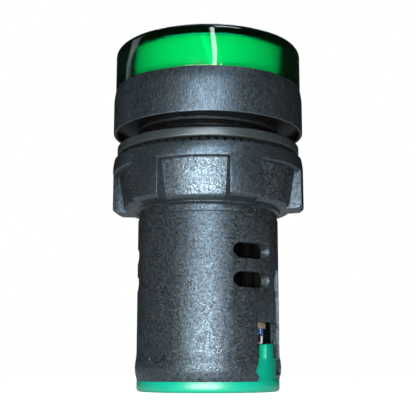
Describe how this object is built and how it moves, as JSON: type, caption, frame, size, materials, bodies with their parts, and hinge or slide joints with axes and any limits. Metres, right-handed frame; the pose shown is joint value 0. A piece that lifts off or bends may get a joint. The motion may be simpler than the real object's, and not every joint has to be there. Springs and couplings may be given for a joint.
{
  "type": "panel pilot light",
  "caption": "Round panel-mounted pilot light with a flat coloured lens, threaded neck, gasket and lugged nut, vented barrel and shrouded screw terminals at the rear.",
  "frame": {"origin": "on the axis of the light, in the plane of the bezel's underside, which bears on the front of the panel", "axes": "+Z along the axis towards the lens; the two terminals lie at +X and -X; -Y is the side with the vent slots"},
  "size_m": [0.029, 0.029, 0.0516],
  "materials": {
    "black_moulding": "fine spark texture",
    "black_nut": "fine spark texture",
    "green_lens": "clear, polished",
    "milky_cap": "satin, translucent",
    "white_board": "solder resist",
    "lamp_pack": "moulded",
    "gold_pins": "plated",
    "green_board": "solder resist",
    "red_case": "moulded box",
    "blue_sleeve": "shrink sleeve",
    "black_epoxy": "moulded",
    "tan_lacquer": "lacquered",
    "nickelled_brass": "nickel plated",
    "zinc_plate": "zinc plated",
    "green_plug": "semi-gloss",
    "black_rubber": "smooth satin"
  },
  "bodies": {
    "light": {"housing": "black_moulding", "lens": "green_lens", "diffuser": "milky_cap", "lamp_board": "white_board", "lamps": "lamp_pack", "link_pins": "gold_pins", "power_board": "green_board", "film_capacitor": "red_case", "electrolytic_capacitor": "blue_sleeve", "diodes": "black_epoxy", "resistor": "tan_lacquer", "terminal_right": "nickelled_brass", "terminal_left": "nickelled_brass", "terminal_plug": "green_plug"},
    "gasket": {"gasket": "black_rubber"},
    "nut": {"mounting_nut": "black_nut"},
    "clamp_right": {"clamp_right": "zinc_plate"},
    "screw_right": {"screw_right": "zinc_plate"},
    "clamp_left": {"clamp_left": "zinc_plate"},
    "screw_left": {"screw_left": "zinc_plate"}
  },
  "joints": [
    {"name": "gasket_travel", "type": "slide", "parent": "light", "child": "gasket", "axis": [0, 0, 1], "range_m": [-0.0075, 0.003]},
    {"name": "nut_spin", "type": "hinge", "parent": "gasket", "child": "nut", "pos_m": [0, 0, -0.008], "axis": [0, 0, 1], "range_deg": [-2700, 1080]},
    {"name": "clamp_right_travel", "type": "slide", "parent": "light", "child": "clamp_right", "axis": [0, 0, 1], "range_m": [-0.0012, 0.0006]},
    {"name": "screw_right_spin", "type": "hinge", "parent": "clamp_right", "child": "screw_right", "pos_m": [0.0046, 0, -0.03], "axis": [0, 0, 1], "range_deg": [-720, 360]},
    {"name": "clamp_left_travel", "type": "slide", "parent": "light", "child": "clamp_left", "axis": [0, 0, 1], "range_m": [-0.0012, 0.0006]},
    {"name": "screw_left_spin", "type": "hinge", "parent": "clamp_left", "child": "screw_left", "pos_m": [-0.0046, 0, -0.03], "axis": [0, 0, 1], "range_deg": [-720, 360]}
  ],
  "couplings": [
    {"joint": "gasket_travel", "follows": "nut_spin", "m_per_rad": 0.00015915},
    {"joint": "screw_right_spin", "follows": "clamp_right_travel", "rad_per_m": 10472},
    {"joint": "screw_left_spin", "follows": "clamp_left_travel", "rad_per_m": 10472}
  ]
}
